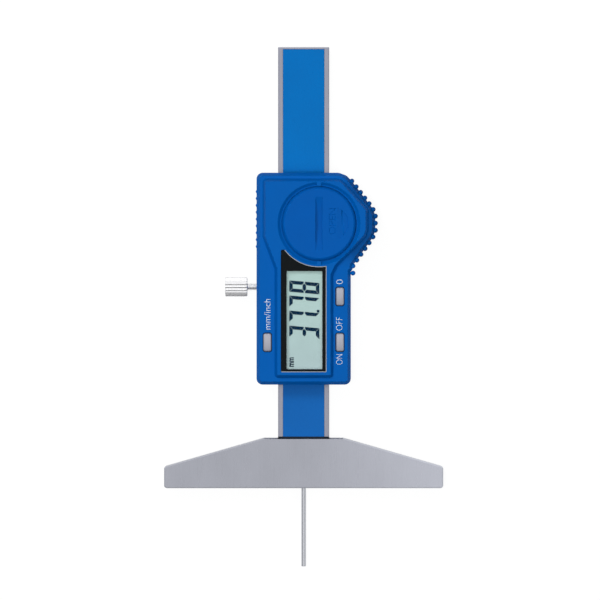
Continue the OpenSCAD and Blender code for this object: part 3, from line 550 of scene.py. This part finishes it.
# One finish for each slot of the record but the buttons', and three for pieces that differ from their slot
finishes = {
    "ground_steel": ground_metal("base_steel", BASE_STEEL, (0.14, 14, 0.14), spread=0.07, painted_sheen=BASE_PAINTED_SHEEN),
    # Beam steel, with a painted shadow where it goes into the base's slot
    "beam_steel": ground_metal("beam_steel", BEAM_STEEL, (0.1, 16, 0.1), rough=0.26, painted_shade_mask=base_slot_shadow),
    "frame_metal": ground_metal("frame_steel", FRAME_STEEL, (9, 0.14, 0.14), rough=0.36),
    "rod_steel": ground_metal("rod_steel", ROD_STEEL, (0.06, 3, 0.06), rough=0.16, depth=0.0006, edge=0.05),
    "screw_steel": ground_metal("screw_steel", SCREW_STEEL, (0.2, 0.2, 0.2), edge=0.08),
    "cell_steel": ground_metal("cell_steel", CELL_STEEL, (0.3, 0.3, 0.3), rough=0.22),
    "brass": ground_metal("brass", BRASS, (0.2, 4, 0.2), rough=0.32),
    "contact_gold": ground_metal("contact_gold", GOLD, (0.3, 3, 0.3), rough=0.28),
    "knob_chrome": chrome("knob_chrome", CHROME, rough=0.24, edge=0.3),
    "housing_blue": satin_plastic("housing_plastic", HOUSING_BLUE, grain_and_shade=grip_grain_and_shade),
    "bezel_black": gloss_plastic("window_plastic", WINDOW_BLACK, specular=0.06, edge=0.1),
    "film_blue": printed_film(),
    "grid_copper": comb("grid_scale", GLASS_FIBRE, COPPER, SCALE_PITCH),
    "lens_clear": clear_lens(),
    "lcd_grey": display_face(),
    "lcd_ink": gloss_plastic("display_ink", LCD_INK, rough=0.3, specular=0.03),
    "board_green": circuit("board", SOLDER_MASK),
    "chip_black": rubber("chip_resin", CHIP_BLACK),
    "rubber_grey": rubber("rubber", RUBBER_GREY),
    "rubber_pink": rubber("connector_rubber", RUBBER_PINK),
    # The cover's rims are paler still: partly wear, partly a painted highlight along the rim
    "cover": satin_plastic("cover_plastic", COVER_BLUE, wear_and_highlight=0.6),
    "window_edge_highlight": gloss_plastic("window_edge_highlight", WINDOW_HIGHLIGHT, rough=0.25),
    "print": satin_plastic("print_white", PRINT_WHITE, rough=0.5, grain=0.08, depth=0.002, edge=0.02),
}


def dress(piece, material):
    """Gives a piece one material."""
    piece.data.materials.clear()
    piece.data.materials.append(material)


for name, piece in nodes.items():
    dress(piece, button_finish(name) if slots[name] == "button_grey" else finishes[slots[name]])


# Meshes

# Points of a mesh that lie nearer than this, in its own units, are one
WELD = 1e-6

# Straight steps in each curved stretch of a letter
CURVE_STEPS = 6


def linked(name, data):
    """A new object in the scene."""
    made = bpy.data.objects.new(name, data)
    bpy.context.scene.collection.objects.link(made)
    return made


def shown_mesh(source):
    """The mesh that an object shows: a text as faces, or a piece with its modifiers applied."""
    bpy.context.view_layer.update()
    return bpy.data.meshes.new_from_object(source.evaluated_get(bpy.context.evaluated_depsgraph_get()))


def finished_mesh(name, shape):
    """A mesh from a closed bmesh, with its normals outward."""
    bmesh.ops.recalc_face_normals(shape, faces=shape.faces)
    mesh = bpy.data.meshes.new(name)
    shape.to_mesh(mesh)
    shape.free()
    return mesh


def text_mesh(name, bottom, top):
    """Lettering that reads up the beam, as a closed mesh between two heights."""
    words, low, high, weight = LETTERING[name]
    curve = bpy.data.curves.new(name, "FONT")
    curve.body = words
    curve.resolution_u = CURVE_STEPS
    curve.offset = weight
    source = linked(name + "_source", curve)
    flat = shown_mesh(source)
    bpy.data.objects.remove(source)
    shape = bmesh.new()
    shape.from_mesh(flat)
    bpy.data.meshes.remove(flat)
    bmesh.ops.remove_doubles(shape, verts=shape.verts, dist=WELD)
    left = min(v.co.x for v in shape.verts)
    foot = min(v.co.y for v in shape.verts)
    length = max(v.co.x for v in shape.verts) - left
    height = max(v.co.y for v in shape.verts) - foot
    for v in shape.verts:
        x = high[0] + (low[0] - high[0]) * (v.co.y - foot) / height
        y = low[1] + (high[1] - low[1]) * (v.co.x - left) / length
        v.co = Vector((x, y, bottom)) * MM
    made = bmesh.ops.extrude_face_region(shape, geom=shape.faces[:])
    for v in made["geom"]:
        if isinstance(v, bmesh.types.BMVert):
            v.co.z = top * MM
    return finished_mesh(name, shape)


def skin(name, rings):
    """A closed mesh over rings of points in millimetres, with a cap at each end."""
    shape = bmesh.new()
    rows = [[shape.verts.new(point * MM) for point in ring] for ring in rings]
    for row, following in zip(rows, rows[1:]):
        for k in range(len(row)):
            turn = (k + 1) % len(row)
            shape.faces.new((row[k], row[turn], following[turn], following[k]))
    shape.faces.new(rows[0][::-1])
    shape.faces.new(rows[-1])
    return finished_mesh(name, shape)


def ribbon(name, points, width, bottom, top):
    """A flat strip along points in millimetres, width to the right of the line, between two heights."""
    mitre_limit = 0.5
    ways = [(after - before).normalized() for before, after in zip(points, points[1:])]
    rings = []
    for i, point in enumerate(points):
        before = ways[max(i - 1, 0)]
        after = ways[min(i, len(ways) - 1)]
        side = (before + after).normalized().orthogonal()
        inner = point - side * width / max(mitre_limit, side.dot(before.orthogonal()))
        corners = ((point, bottom), (inner, bottom), (inner, top), (point, top))
        rings.append([Vector((x, y, z)) for (x, y), z in corners])
    return skin(name, rings)


def tube(name, points, radius, sides):
    """A closed round bar along points in millimetres, which never run straight up."""
    rings = []
    for i, point in enumerate(points):
        ahead = points[min(i + 1, len(points) - 1)] - points[max(i - 1, 0)]
        side = ahead.cross(Vector((0, 0, 1))).normalized()
        up = side.cross(ahead).normalized()
        angles = [2 * math.pi * k / sides for k in range(sides)]
        rings.append([point + radius * (math.cos(a) * side + math.sin(a) * up) for a in angles])
    mesh = skin(name, rings)
    mesh.shade_smooth()
    return mesh


# Pieces that the scene adds

def piece_of(name, mesh, material, body):
    """A new piece that rides on a body."""
    piece = linked(name, mesh)
    dress(piece, material)
    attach(piece, body)
    return piece


def printed_labels():
    """The words beside the buttons, and the unit sign on the display."""
    for name in ("label_unit", "label_zero", "label_off", "label_on"):
        mesh = text_mesh(name, WING_TOP, WING_TOP + PRINT_HEIGHT)
        piece_of(name, mesh, finishes["print"], "slider")
    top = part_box("lcd_panel")[1].z / MM
    mesh = text_mesh("display_unit", top, top + INK_HEIGHT)
    piece_of("display_unit", mesh, finishes["lcd_ink"], "slider")


def bold_digits():
    """The display's segments, a little wider on each side, as they look when driven."""
    same_way = 0.999
    sharpest = 0.4
    shape = bmesh.new()
    shape.from_mesh(nodes["lcd_digits"].data)
    bmesh.ops.remove_doubles(shape, verts=shape.verts, dist=WELD)
    shape.normal_update()
    moves = []
    for v in shape.verts:
        sides = []
        for face in v.link_faces:
            upright = abs(face.normal.z) < 0.5
            if upright and all(face.normal.dot(side) < same_way for side in sides):
                sides.append(face.normal.copy())
        if len(sides) == 2:
            moves.append((v, (sides[0] + sides[1]) / max(sharpest, 1 + sides[0].dot(sides[1]))))
    for v, way in moves:
        v.co += way * SEGMENT_SPREAD * MM
    mesh = finished_mesh("display_digits", shape)
    piece = piece_of("display_digits", mesh, finishes["lcd_ink"], "slider")
    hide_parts("lcd_digits")


def engraved_cover():
    """The battery cover with its word cut in beside the coin slot, as a copy that stands for the node."""
    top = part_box("battery_cover")[1].z / MM
    copy = nodes["battery_cover"].data.copy()
    piece = piece_of("cover_with_word", copy, finishes["cover"], "battery_cover")
    cutter = linked("cover_word", text_mesh("cover_word", top - WORD_DEPTH, top + WORD_DEPTH))
    cut = piece.modifiers.new("word", "BOOLEAN")
    cut.operation = "DIFFERENCE"
    cut.solver = "EXACT"
    cut.object = cutter
    done = shown_mesh(piece)
    piece.modifiers.clear()
    piece.data = done
    bpy.data.objects.remove(cutter)
    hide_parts("battery_cover")


def window_edge_highlight():
    """Painted highlight of the window's edge: a pale strip along its bow, its right side and its foot."""
    low, high = (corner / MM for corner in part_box("window_frame"))
    cover_low, cover_high = (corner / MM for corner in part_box("battery_cover"))
    centre = Vector((COVER_X, (cover_low.y + cover_high.y) / 2))
    to_top = high.y - centre.y
    to_right = high.x - centre.x
    start = math.atan2(to_top, -math.sqrt(BOW_RADIUS ** 2 - to_top ** 2))
    end = math.atan2(-math.sqrt(BOW_RADIUS ** 2 - to_right ** 2), to_right)
    if start > 0:
        start -= 2 * math.pi
    line = []
    for i in range(BOW_STEPS + 1):
        angle = start + (end - start) * i / BOW_STEPS
        line.append(centre + BOW_RADIUS * Vector((math.cos(angle), math.sin(angle))))
    line.append(Vector((high.x, low.y)))
    line.append(Vector((low.x, low.y)))
    mesh = ribbon("window_edge_highlight", line, EDGE_WIDTH, high.z - EDGE_DEPTH, high.z + EDGE_RISE)
    piece_of("window_edge_highlight", mesh, finishes["window_edge_highlight"], "slider")


def stem_thread():
    """Fine thread on the stem of the lock screw, between the housing and the knurled head."""
    low, high = (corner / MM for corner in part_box("lock_screw"))
    start = low.x + KNOB_LENGTH + KNOB_GAP
    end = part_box("slider_frame")[0].x / MM - HOUSING_GAP
    turns = (end - start) / THREAD_PITCH
    count = int(turns * THREAD_STEPS)
    middle = (low + high) / 2
    points = []
    for i in range(count + 1):
        angle = 2 * math.pi * turns * i / count
        points.append(Vector((start + (end - start) * i / count, middle.y + STEM_R * math.cos(angle),
                              middle.z + STEM_R * math.sin(angle))))
    mesh = tube("stem_thread", points, THREAD_R, THREAD_SIDES)
    piece_of("stem_thread", mesh, finishes["knob_chrome"], "lock_screw")


printed_labels()
bold_digits()
engraved_cover()
window_edge_highlight()
stem_thread()


# Floor, light and camera

def studio_floor():
    """White paper, as the camera and reflections see it, that takes the part's shadow."""
    bpy.ops.mesh.primitive_plane_add(size=FLOOR_SIZE, location=(0, 0, cad_box[0].z))
    floor = bpy.context.object
    floor.name = "floor"
    look = Finish("floor_paper", Specular_IOR_Level=0.1)
    grain = look.noise(1.5, detail=3.0)
    look.put("Base Color", look.mixed(grain, FLOOR_DARK, FLOOR_PALE))
    look.put("Roughness", look.between(grain, 0.8, 0.9))
    look.bumps((grain, 0.01))
    seen = look.rays("Is Camera Ray", "Is Glossy Ray", "Is Transmission Ray")
    white = look.add("ShaderNodeEmission", {"Strength": FLOOR_GLOW})
    look.give_way(look.maths("MULTIPLY", seen, FLOOR_WHITE), white)
    dress(floor, look.material)


def lamp(name, place, aim, size, power, mirrored):
    """A square lamp. One that isn't mirrored lights colours and leaves gloss alone."""
    data = bpy.data.lights.new(name, "AREA")
    data.shape = "SQUARE"
    data.size = size
    data.energy = power
    light = linked(name, data)
    light.location = place
    light.rotation_euler = (aim - place).to_track_quat("-Z", "Y").to_euler()
    light.visible_glossy = mirrored
    light.visible_transmission = mirrored


class Sky(Network):
    """The surroundings, from patches of brightness whose strongest one counts in each direction."""

    def __init__(self, name):
        world = bpy.data.worlds.new(name)
        bpy.context.scene.world = world
        world.use_nodes = True
        super().__init__(world.node_tree, "Generated")
        self.reflected = self.maths("SUBTRACT", 1.0, self.rays("Is Diffuse Ray"))
        self.patches = []

    def patch(self, direction, start, end, low, high, reflections_only=False):
        """Brightness low to high as the cosine of the angle from a direction goes from start to end."""
        facing = self.cosine(self.place, Vector(direction).normalized())
        fade = self.between(facing, low, high, start, end, interpolation_type="SMOOTHSTEP")
        if reflections_only:
            fade = self.maths("MULTIPLY", fade, self.reflected)
        self.patches.append(fade)

    def finish(self):
        """Lights the world with the patches."""
        background = self.tree.nodes["Background"]
        self.feed(background.inputs["Color"], WHITE)
        self.feed(background.inputs["Strength"], self.maths("MAXIMUM", *self.patches))


def studio_sky():
    """A soft cap near the zenith, and for reflections a white horizon and a bright back wall."""
    sky = Sky("studio")
    sky.patch((-0.1, 0.16, 1.0), start=0.55, end=0.94, low=0.0, high=0.95)
    sky.patch((0, 0, 1), start=0.1, end=0.26, low=1.0, high=0.28, reflections_only=True)
    sky.patch((-0.2, 1.0, 0.4), start=0.25, end=0.5, low=0.0, high=1.4, reflections_only=True)
    sky.finish()


def camera_above(middle):
    """A camera with a long lens, straight above the middle, that frames as the photograph does."""
    data = bpy.data.cameras.new("camera")
    data.lens = data.sensor_width * CAMERA_HEIGHT / (PHOTO_WIDTH * MM)
    data.clip_end = CAMERA_REACH
    camera = linked("camera", data)
    camera.location = middle + Vector((0, 0, CAMERA_HEIGHT))
    bpy.context.scene.camera = camera


photo_middle = Vector((*PHOTO_CENTRE, 0)) * MM
studio_floor()
studio_sky()
for name, (place, size, power, mirrored) in LAMPS.items():
    lamp(name, photo_middle + Vector(place), photo_middle, size, power, mirrored)
camera_above(photo_middle)
bpy.context.scene.view_settings.view_transform = "Standard"
